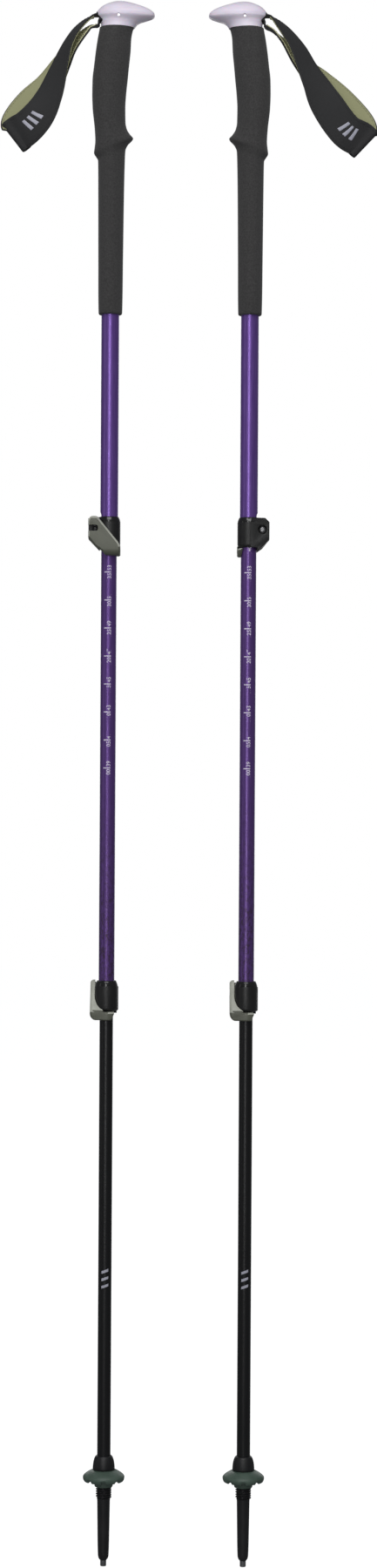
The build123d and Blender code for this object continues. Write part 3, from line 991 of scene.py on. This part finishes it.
def settle_band(side, piece, slot, look, *nodes):
    """Gives a strap piece its look and hides its CAD nodes; it belongs to no body, and its placement is baked
    into its mesh.
    """
    settle(piece, None, slot, *nodes, looks=[look])
    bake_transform(piece)


# ---------------------------------------------------------------- clamps

# Heights count down from the top of the collar, and the ears point to -X.
COLLAR_R = 10.1
COLLAR_HEIGHT = 27.0
# From the collar's side up to its top: radius and height
COLLAR_SLOPE = [(COLLAR_R, -4.6), (9.95, -3.4), (9.6, -2.2), (9.1, -1.0), (8.75, -0.25), (8.4, 0.0)]
COLLAR_LOW_ROUND = 3.0
COLLAR_SOFT = (0.55, 38)
# The range of upward slant in which a face at the collar's top counts as its slope, which is glossier and
# painted a little paler as a highlight from above
SLOPE_SLANT = (0.12, 0.75)
EAR_OUTLINE = [
    (-14.6, -0.5), (-18.4, -4.2), (-18.4, -20.0), (-8.2, -30.5), (-8.2, -26.9), (-1.4, -26.9), (-1.4, -0.3),
]
EAR_ROUND = 1.0
EAR_FRONT = -4.3
EAR_REAR = 10.6
EAR_TANGENT = (-1.42, 10.05)
EAR_CORNER = (-18.4, 7.6)
SPLIT = 1.5
SCREW_X = -12.3
SCREW_Z = -10.75
SCREW_HOLE = 1.75
COUNTERBORE_R = 4.3
COUNTERBORE_SEAT = 3.5
BONDED_GAP = 0.05
SCREW_R = 1.5
SCREW_HEAD_R = 3.75
SCREW_END = -9.5
SCREW_CHAMFER = (0.3, 0.4)
SCREW_RIM = 0.9
SCREW_DOME = 1.5
SOCKET_R = 1.4
SOCKET_DEPTH = 1.4
# Cutters run past a clamp to these heights and this far to its sides
CUT_LOW = -50.0
CUT_HIGH = 10.0
CUT_SIDE = 30.0

LEVER_OUTLINE = [
    (-15.9, 0.0), (-18.6, -3.5), (-18.6, -19.0), (-12.2, -27.0), (-5.7, -31.5), (-3.0, -35.0),
    (8.6, -35.0), (10.3, -31.0), (10.3, -27.4), (8.6, -23.5), (-10.5, 0.0),
]
LEVER_ROUND = 3.4
LEVER_SOFT = (0.35, 36)
LEVER_FRONT = -14.6
LEVER_BACK = -10.5
LEVER_RIM = 1.5
RIM_DEPTH = 2.0
WEB_OUTLINE = [(-2.0, -34.9), (10.2, -34.9), (10.2, -25.6), (8.6, -23.6), (-2.0, -10.6)]
WEB_ROUND = 1.6
WEB_LAP = 1.5
WEB_BACK = 1.5
WEB_GAP = 0.45
# The lever's rounded ends seen from the side: y, height and radius
LOW_END = (-8.6, -29.0, 6.0)
HIGH_END = (-11.8, -2.8, 2.8)
CAM_SPAN = (-18.7, -2.2)
CAM_INNER_X = -9.4
CAM_R = 6.1
CAM_LAP = 0.5
BARREL_Y = -11.2
BARREL_BORE = 2.75
BARREL_SPAN = (-17.1, -4.5)
LEVER_SLOT = (-13.5, -8.0)
LEVER_SLOT_END = -9.6
LEVER_SLOT_ROUND = 1.9
TAIL = (-35.0, -27.4)
TAIL_R = 10.3
TAIL_GAP = 0.5
TAIL_CLEAR = 0.15
TAIL_RIM = 1.7
TAIL_START = -95
TAIL_END_LOW = 26
TAIL_END_HIGH = 50
TAIL_CHAMFER = 0.8
TUBE_CUT_TOP = -20.0


def arc(centre_r, centre_z, radius, start, end, steps=6):
    """Points of radius and height round part of a circle."""
    made = []
    for i in range(steps + 1):
        angle = math.radians(start + (end - start) * i / steps)
        made.append((centre_r + radius * math.cos(angle), centre_z + radius * math.sin(angle)))
    return made


def screw_bar(radius, low, high, count):
    """A round bar on the screw's axis."""
    return along_y(bar(radius, low, high, count), SCREW_X, SCREW_Z)


def paint(piece, place, chosen):
    """Gives the second material to the faces chosen by their centre and normal in the clamp's frame."""
    back = place.inverted()
    turn = back.to_3x3().normalized()
    for face in piece.data.polygons:
        face.material_index = int(chosen(back @ face.center, turn @ face.normal))


def collar(node, tube_node, place, body):
    """The split collar with its rounded ends, two ears, the screw's hole and the head's counterbore."""
    bore = radius_of(tube_node) + BONDED_GAP
    round_r = COLLAR_LOW_ROUND
    profile = [(bore, -COLLAR_HEIGHT)]
    profile += arc(COLLAR_R - round_r, round_r - COLLAR_HEIGHT, round_r, -70, 0)
    profile += [*COLLAR_SLOPE, (bore, 0.0)]
    piece = mesh_piece(f"{node}_body", *lathe(profile, 96, wrap=True), place)
    combine(piece, [slab(rounded(EAR_OUTLINE, EAR_ROUND), EAR_FRONT, EAR_REAR)], place, "UNION")
    inner = bar(bore, CUT_LOW, CUT_HIGH, 96)
    split = box((-CUT_SIDE, -SPLIT / 2, CUT_LOW), (0, SPLIT / 2, CUT_HIGH))
    hole = screw_bar(SCREW_HOLE, -CUT_SIDE, CUT_SIDE, 32)
    seat = screw_bar(COUNTERBORE_R, COUNTERBORE_SEAT, CUT_SIDE, 48)
    combine(piece, [ear_cutter(), ear_slope(), inner, split, hole, seat], place, "DIFFERENCE")
    soften(piece, *COLLAR_SOFT)
    settle(piece, body, "black_plastic", node, looks=["black_plastic", "plastic_slope"])
    foot, (low, high) = COLLAR_SLOPE[0][1], SLOPE_SLANT
    # Upward-slanted faces at the top get the slope plastic, whose paler tone is a painted highlight.
    paint(piece, place, lambda centre, normal: centre.z > foot and low < normal.z < high)


def ear_cutter():
    """What lies behind the ears' rear face, which runs off the ring as a tangent."""
    (x, y), (far_x, far_y) = EAR_TANGENT, EAR_CORNER
    slope = (y - far_y) / (x - far_x)
    outline = [(x, y), (x, 20.0), (-CUT_SIDE, 20.0), (-CUT_SIDE, far_y + slope * (-CUT_SIDE - far_x))]
    return upright_slab(outline, CUT_LOW, CUT_HIGH)


def ear_slope():
    """What lies above the slope along the top of the ears' rear face, which carries on the ring's slope."""
    start = Vector((*EAR_TANGENT, 0))
    along = (Vector((*EAR_CORNER, 0)) - start).normalized()
    out = along.cross(Vector((0, 0, 1)))
    out = out if out.y > 0 else -out
    (low_r, low_z), (top_r, top_z) = COLLAR_SLOPE[0], COLLAR_SLOPE[-1]
    inward, foot = top_r - low_r, low_z - 0.8
    section = [(0.3, foot), (inward, top_z), (inward, 5.0), (6.0, 5.0), (6.0, foot)]
    rings = []
    for reach in (-3.0, 40.0):
        hubs = [start + along * reach + out * aside for aside, _ in section]
        rings.append([(hub.x, hub.y, z) for hub, (_, z) in zip(hubs, section)])
    return skin(rings)


def soften(piece, width, angle):
    """Rounds the piece's edges that turn by more than an angle, for good."""
    tidy = bmesh.new()
    tidy.from_mesh(piece.data)
    bmesh.ops.remove_doubles(tidy, verts=tidy.verts, dist=1e-6)
    bmesh.ops.dissolve_limit(tidy, angle_limit=math.radians(0.5), verts=tidy.verts, edges=tidy.edges)
    tidy.to_mesh(piece.data)
    tidy.free()
    bevel = piece.modifiers.new("soften", "BEVEL")
    bevel.width = width * MM
    bevel.segments = 3
    bevel.limit_method = "ANGLE"
    bevel.angle_limit = math.radians(angle)
    bevel.use_clamp_overlap = True
    bevel.miter_outer = "MITER_ARC"
    freeze(piece)
    shade(piece, 40)


def lever_tail(inner):
    """The part that hooks round the tube below the collar, with a wide rim and a slanted end."""
    low, high = TAIL
    outline = [(inner, low), (TAIL_R - TAIL_CHAMFER, low), (TAIL_R, low + TAIL_CHAMFER)]
    outline += [(TAIL_R, high - TAIL_RIM), (TAIL_R - TAIL_RIM, high), (inner, high)]
    steps = 40
    rings = []
    for i in range(steps + 1):
        ring = []
        for r, z in outline:
            end = TAIL_END_LOW + (TAIL_END_HIGH - TAIL_END_LOW) * (z - low) / (high - low)
            angle = math.radians(TAIL_START + (end - TAIL_START) * i / steps)
            ring.append((r * math.cos(angle), r * math.sin(angle), z))
        rings.append(ring)
    return skin(rings)


def cam_block():
    """The round-backed block behind the lever's head, concentric with the barrel."""
    first = math.degrees(math.acos((CAM_INNER_X - SCREW_X) / CAM_R))
    last = 180 - math.degrees(math.asin((LEVER_BACK - BARREL_Y) / CAM_R))
    outline = arc(SCREW_X, BARREL_Y, CAM_R, first, last, 24)
    lap = LEVER_BACK - CAM_LAP
    outline += [(outline[-1][0], lap), (CAM_INNER_X, lap)]
    return upright_slab(outline, *CAM_SPAN)


def head_cutter():
    """What lies outside the lever head's round outer edge, which turns about the barrel."""
    far_x = SCREW_X - 14
    outline = [(far_x, -32.0), (SCREW_X, -32.0)]
    outline += arc(SCREW_X, BARREL_Y, CAM_R, 270, 90, 24)
    outline += [(SCREW_X, 10.0), (far_x, 10.0)]
    return upright_slab(outline, CUT_LOW, CUT_HIGH)


def end_cutter(end, way):
    """What lies outside the lever's rounded lower (way -1) or upper (way 1) front corner."""
    y, z, radius = end
    outer = radius + 3
    outline = arc(y, z, radius, 180, 180 - way * 90, 16)
    outline += [(y, z + way * outer), (y - outer, z + way * outer), (y - outer, z)]
    return skin([[(x, v, w) for v, w in outline] for x in (-CUT_SIDE, CUT_SIDE)])


def upright_slab(outline, low, high):
    """An XY outline given height."""
    return skin([[(x, y, z) for x, y in outline] for z in (low, high)])


def on_rim(centre, normal):
    """Whether a face of the lever is one of its chamfers, which are painted paler as a highlight from above.
    """
    if centre.y < LEVER_BACK:
        return centre.z > TAIL[1] and -0.97 < normal.y < 0.5 and normal.z > -0.2
    outward = Vector((centre.x, centre.y, 0)).normalized()
    return centre.z > TAIL[1] - TAIL_RIM and normal.z > 0.3 and normal.dot(outward) > 0.3


def lever(node, inner_node, place, body):
    """The locking lever: a chamfered plate with a web, a cam behind its head and a tail round the tube."""
    inner = radius_of(inner_node) + TAIL_GAP
    plate = slab(rounded(LEVER_OUTLINE, LEVER_ROUND), LEVER_FRONT, LEVER_BACK, LEVER_RIM, RIM_DEPTH)
    piece = mesh_piece(f"{node}_body", *plate, place)
    web = slab(rounded(WEB_OUTLINE, WEB_ROUND), LEVER_BACK - WEB_LAP, WEB_BACK)
    for part in (cam_block(), web, lever_tail(inner)):
        combine(piece, [part], place, "UNION")
    (low, high), end = LEVER_SLOT, LEVER_SLOT_END
    outline = rounded([(-CUT_SIDE, low), (end, low), (end, high), (-CUT_SIDE, high)], LEVER_SLOT_ROUND)
    slot = slab(outline, -CUT_SIDE, 0)
    points, faces = bar(BARREL_BORE, *BARREL_SPAN)
    bore = [(x + SCREW_X, y + BARREL_Y, z) for x, y, z in points], faces
    tube = bar(inner, CUT_LOW, TUBE_CUT_TOP, 64)
    ring = bar(COLLAR_R + WEB_GAP, TAIL[1] - TAIL_CLEAR, CUT_HIGH, 96)
    cutters = [head_cutter(), end_cutter(LOW_END, -1), end_cutter(HIGH_END, 1), slot, bore, tube, ring]
    combine(piece, cutters, place, "DIFFERENCE")
    soften(piece, *LEVER_SOFT)
    # Chamfers that face up and out get the paler rim colour, a painted highlight.
    settle(piece, body, "lever_alloy", node, looks=["lever_alloy", "lever_rim"])
    paint(piece, place, on_rim)


def screw(node, place, body):
    """The tension screw: a domed head with a hex socket, and its shank to the barrel."""
    seat, rim, end = COUNTERBORE_SEAT, COUNTERBORE_SEAT + SCREW_RIM, SCREW_END
    inward, upward = SCREW_CHAMFER
    profile = [(AXIS_R, end), (SCREW_R - inward, end), (SCREW_R, end + upward), (SCREW_R, seat)]
    profile += [(SCREW_HEAD_R, seat), (SCREW_HEAD_R, rim)]
    profile += [(SCREW_HEAD_R * math.cos(a), rim + SCREW_DOME * math.sin(a)) for a in (0.35, 0.7, 1.05)]
    profile += [(AXIS_R, rim + SCREW_DOME)]
    piece = mesh_piece(f"{node}_body", *along_y(lathe(profile, 48), SCREW_X, SCREW_Z), place)
    socket = screw_bar(SOCKET_R, rim + SCREW_DOME - SOCKET_DEPTH, CUT_SIDE, 6)
    combine(piece, [socket], place, "DIFFERENCE")
    settle(piece, body, "black_steel", node, looks=["black_steel", "dark_steel"])
    # The shank gets the near-black steel, painted shade inside the ear and the lever's slot.
    paint(piece, place, lambda centre, normal: centre.y < seat + 0.5)


def clamps(side):
    """Both clamps of a pole; the barrel and washer are the CAD pieces."""
    rows = (("upper", UPPER_TURN[side], "upper", "middle"), ("lower", LOWER_TURN, "middle", "lower"))
    for which, turn, outer, inner in rows:
        node = f"{side}_{which}_clamp"
        place = pole_frame(side, turn, top_of(f"{node}_collar"))
        collar(f"{node}_collar", f"{side}_{outer}_tube", place, f"{side}_{outer}")
        lever(f"{node}_lever", f"{side}_{inner}_tube", place, f"{side}_{which}_lever")
        screw(f"{node}_screw", place, f"{side}_{which}_screw")


# ---------------------------------------------------------------- length scale

MARK_PITCH = 25.0
MARK_COUNT = 9
MARK_FIRST_LABEL = 140
MARK_LABEL_STEP = 5
MARK_BAR = (6.3, 0.9)
MARK_OFFSET_X = -0.7
MARK_RISE = 5.9
TEXT_HEIGHT = 3.6
TEXT_WEIGHT = 0.035
TEXT_GAP = 1.1
TEXT_ASIDE = 0.6
INK_LIFT = 0.03
INCH = 2.54
# The lower shaft's plain bars: width, height, x, first height, pitch and slant
BADGE_COUNT = 3
BADGE_BAR = (6.4, 2.4, 0.2)
BADGE_FIRST = 251.0
BADGE_PITCH = 6.6
BADGE_SLANT = 0.35


def printed(name, shapes, side, part, look):
    """Flat shapes of x and z wrapped round the front of a tube, just off its face."""
    points, faces = [], []
    radius = radius_of(f"{side}_{part}_tube")
    lift = radius + INK_LIFT
    for flat, polygons in shapes:
        wrapped = [(lift * math.sin(x / radius), -lift * math.cos(x / radius), z) for x, z in flat]
        gather(points, faces, wrapped, polygons)
    piece = mesh_piece(name, points, faces, pole_frame(side), 60)
    settle(piece, f"{side}_{part}", SLOT_OF[f"{side}_{part}_tube"], looks=[look])


def lettering(text, height):
    """Filled shapes of a short number, centred on the origin."""
    number_curve = bpy.data.curves.new("number", "FONT")
    number_curve.body = text
    number_curve.size = height * 1.4
    number_curve.offset = TEXT_WEIGHT
    number_curve.align_x = "CENTER"
    number_curve.align_y = "CENTER"
    number_curve.resolution_u = 3
    carrier = bpy.data.objects.new("number", number_curve)
    bpy.context.scene.collection.objects.link(carrier)
    mesh = baked(carrier)
    flat = [(v.co.x, v.co.y) for v in mesh.vertices]
    polygons = [tuple(p.vertices) for p in mesh.polygons]
    bpy.data.objects.remove(carrier)
    bpy.data.meshes.remove(mesh)
    middle_y = (max(y for _, y in flat) + min(y for _, y in flat)) / 2
    return [(x, y - middle_y) for x, y in flat], polygons


def strip(width, height, x, z, steps):
    """A level bar of quads."""
    points = []
    for i in range(steps + 1):
        u = x + width * (i / steps - 0.5)
        points += [(u, z - height / 2), (u, z + height / 2)]
    faces = [(2 * i, 2 * i + 2, 2 * i + 3, 2 * i + 1) for i in range(steps)]
    return points, faces


def scale(side):
    """The printed length scale: a bar every step, inches above it and centimetres below, read sideways."""
    first = bottom_of(f"{side}_upper_clamp_collar") + MARK_RISE
    shapes = []
    for k in range(MARK_COUNT):
        z = first - k * MARK_PITCH
        label = MARK_FIRST_LABEL - k * MARK_LABEL_STEP
        for text, way in ((f"{label / INCH:.0f}", 1), (str(label), -1)):
            flat, polygons = lettering(text, TEXT_HEIGHT)
            length = max(x for x, _ in flat) - min(x for x, _ in flat)
            hub = z + way * (MARK_BAR[1] / 2 + TEXT_GAP + length / 2)
            shapes.append(([(TEXT_ASIDE - y, x + hub) for x, y in flat], polygons))
        shapes.append(strip(*MARK_BAR, MARK_OFFSET_X, z, 8))
    printed(f"{side}_length_scale", shapes, side, "middle", "ink")


def shaft_bars(side):
    """Plain slanted bars on the lower shaft, where the maker would print a badge."""
    shapes = []
    for k in range(BADGE_COUNT):
        flat, polygons = strip(*BADGE_BAR, BADGE_FIRST + BADGE_PITCH * k, 12)
        shapes.append(([(x, z + BADGE_SLANT * x) for x, z in flat], polygons))
    printed(f"{side}_shaft_bars", shapes, side, "lower", "pale_mark")


# ---------------------------------------------------------------- tip and basket

THREAD_SPAN = (60.5, 85.4)
THREAD_PITCH = 2.1
THREAD_CORE = 5.9
THREAD_R = 7.05
THREAD_ROWS = 110
# Half a ridge's width as a share of the pitch, how flat its crest is, and the length it runs out over
RIDGE_HALF = 0.34
RIDGE_FLAT = 1.8
RUN_OUT = 0.9
TIP_BODY = [
    (2.9, 5.3), (3.3, 5.8), (4.0, 6.7), (4.5, 7.8), (4.8, 9.6),
    (5.0, 14.0), (5.2, 22.0), (5.75, 58.6), (5.9, 60.2),
]
DOME = [(9.6, 86.4), (9.85, 86.9), (9.85, 88.4), (9.65, 91.0), (9.25, 93.6), (8.6, 96.0), (8.0, 97.4)]
DOME_TOP = [(7.5, 98.3), (6.9, 98.8), (6.05, 98.8), (6.05, 88.0)]
TIP_CORE = [(AXIS_R, 88.0), (AXIS_R, 22.1)]
SHANK_HOLE = [(1.85, 22.1), (1.85, 5.3)]


def thread_swell(z, angle):
    """How far the thread stands out at a height and angle, from 0 to 1; it runs out at both ends."""
    low, high = THREAD_SPAN
    turn = ((z - low) / THREAD_PITCH - angle / (2 * math.pi)) % 1.0
    ridge = clamped((1 - abs(turn - 0.5) / RIDGE_HALF) * RIDGE_FLAT)
    return ridge * clamped(min(z - low, high - z) / RUN_OUT)


def tip_body(side):
    """The plastic tip: tapered point, helical thread for the basket and the domed socket for the shaft."""
    low, high = THREAD_SPAN
    profile = list(TIP_BODY)
    profile += [(THREAD_CORE, low + (high - low) * i / THREAD_ROWS) for i in range(THREAD_ROWS + 1)]
    profile += DOME + DOME_TOP + TIP_CORE + SHANK_HOLE

    def reach(r, z, angle):
        if r == THREAD_CORE:
            return r + (THREAD_R - THREAD_CORE) * thread_swell(z, angle)
        return r

    shape = lathe(profile, 72, wrap=True, reach=reach)
    piece = mesh_piece(f"{side}_tip_socket", *shape, pole_frame(side), 42)
    settle(piece, f"{side}_lower", "tip_plastic", f"{side}_tip_body")


BASKET_LOBES = 8
BASKET_TOP = [(7.1, 86.1), (9.7, 86.1), (11.4, 85.7), (13.8, 84.5), (16.2, 82.9), (17.9, 81.4), (18.6, 80.2)]
BASKET_RIM = [(18.75, 79.2), (18.5, 78.0), (18.0, 76.9), (17.2, 76.0), (16.2, 75.9), (15.2, 76.6)]
BASKET_UNDER = [(13.4, 78.2), (11.4, 79.3), (9.6, 79.4), (8.9, 78.6), (8.5, 76.5), (8.2, 72.0), (7.9, 71.1)]
BASKET_BORE = [(7.1, 71.0)]
BASKET_SEGMENTS = 192
# The scallops under the rim: rise, pull inwards, steepness and the cosine at half their rise. Then the height
# that they end at and the radius that they start at, each with the distance that they fade over
LOBE_DEPTH = 1.5
LOBE_PULL = 0.35
LOBE_STEEP = 3.0
LOBE_HALF = 0.55
LOBE_TOP = (80.4, 4.4)
LOBE_START = (12.6, 2.4)


def basket(side):
    """The screw-on basket: a shallow saucer whose rim is scalloped underneath, on a short threaded hub."""
    profile = BASKET_BORE + BASKET_UNDER[::-1] + BASKET_RIM[::-1] + BASKET_TOP[::-1]
    (top, fall), (start, rise) = LOBE_TOP, LOBE_START
    rings = []
    for r, z in refined(profile, 0.6):
        share = clamped((top - z) / fall) * clamped((r - start) / rise)
        ring = []
        for angle in turns(BASKET_SEGMENTS):
            lobe = clamped(0.5 + LOBE_STEEP * (math.cos(BASKET_LOBES * angle) - LOBE_HALF))
            lobe = lobe * lobe * (3 - 2 * lobe) * share
            near = r - LOBE_PULL * lobe
            ring.append((near * math.cos(angle), near * math.sin(angle), z + LOBE_DEPTH * lobe))
        rings.append(ring)
    piece = mesh_piece(f"{side}_saucer_basket", *skin(rings, wrap=True), pole_frame(side), 40)
    settle(piece, f"{side}_basket", "basket_plastic", f"{side}_basket")


# ---------------------------------------------------------------- floor and assembly


def make_floor():
    """A plain pale floor that reaches well past the poles."""
    made = Shading("floor", Roughness=0.9)
    made.shader.inputs["Base Color"].default_value = (0.3, 0.3, 0.3, 1)
    made.shader.inputs["Emission Color"].default_value = (1, 1, 1, 1)
    made.shader.inputs["Emission Strength"].default_value = 0.94
    size = 9.0
    floor = mesh_piece("floor", *box((-size, -size, -0.02), (size, size, -0.0002)))
    floor.data.materials.append(made.material)
    floor.visible_glossy = False
    floor.visible_diffuse = False


def main():
    make_camera()
    make_lights()
    make_world()
    for node, piece in frame["nodes"].items():
        piece.data.materials.clear()
        # The barrel gets the near-black steel, painted shade behind the lever's slot.
        piece.data.materials.append(LOOKS["dark_steel" if node.endswith("barrel") else SLOT_OF[node]])
    for side in SIDES:
        for build in (strap, anchor, grip_foam, grip_cap, clamps, scale, shaft_bars, tip_body, basket):
            build(side)
    make_floor()


main()
